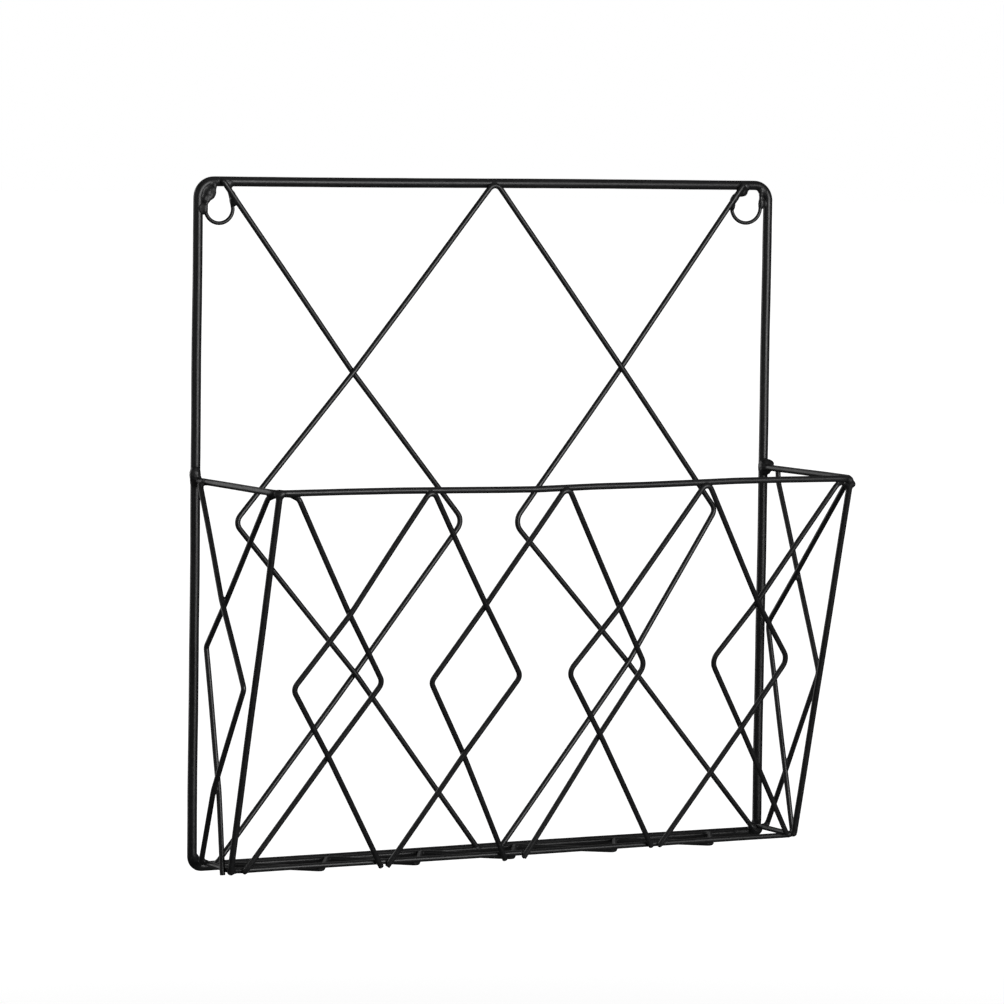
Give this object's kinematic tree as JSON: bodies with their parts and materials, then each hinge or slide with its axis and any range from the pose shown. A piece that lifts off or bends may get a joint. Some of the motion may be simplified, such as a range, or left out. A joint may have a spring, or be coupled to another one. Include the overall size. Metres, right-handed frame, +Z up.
{
  "type": "hanging file rack",
  "caption": "Wall-hung welded wire rack: a rectangular back frame with two keyhole hanging loops and an open-topped, tapering lattice pocket for files and magazines.",
  "frame": {"origin": "on the wall plane, half way along the frame's bottom bar and at the height of that bar's centre line", "axes": "+X to the right seen from the room, +Y into the wall, +Z up"},
  "size_m": [0.3305, 0.0944, 0.3366],
  "materials": {
    "black_powder_coat": "satin black powder coat on steel wire, with a fine orange-peel texture"
  },
  "bodies": {
    "root": {"back_frame": "black_powder_coat", "hanger_left": "black_powder_coat", "hanger_right": "black_powder_coat", "back_lattice_left": "black_powder_coat", "back_lattice_centre": "black_powder_coat", "back_lattice_right": "black_powder_coat", "pocket_rim": "black_powder_coat", "post_left": "black_powder_coat", "post_right": "black_powder_coat", "base_loop": "black_powder_coat", "base_rear_rail": "black_powder_coat", "base_zigzag": "black_powder_coat", "front_lattice_left": "black_powder_coat", "front_lattice_centre": "black_powder_coat", "front_lattice_right": "black_powder_coat", "corner_lattice_left": "black_powder_coat", "corner_lattice_right": "black_powder_coat", "side_lattice_left": "black_powder_coat", "side_lattice_right": "black_powder_coat"}
  },
  "joints": []
}
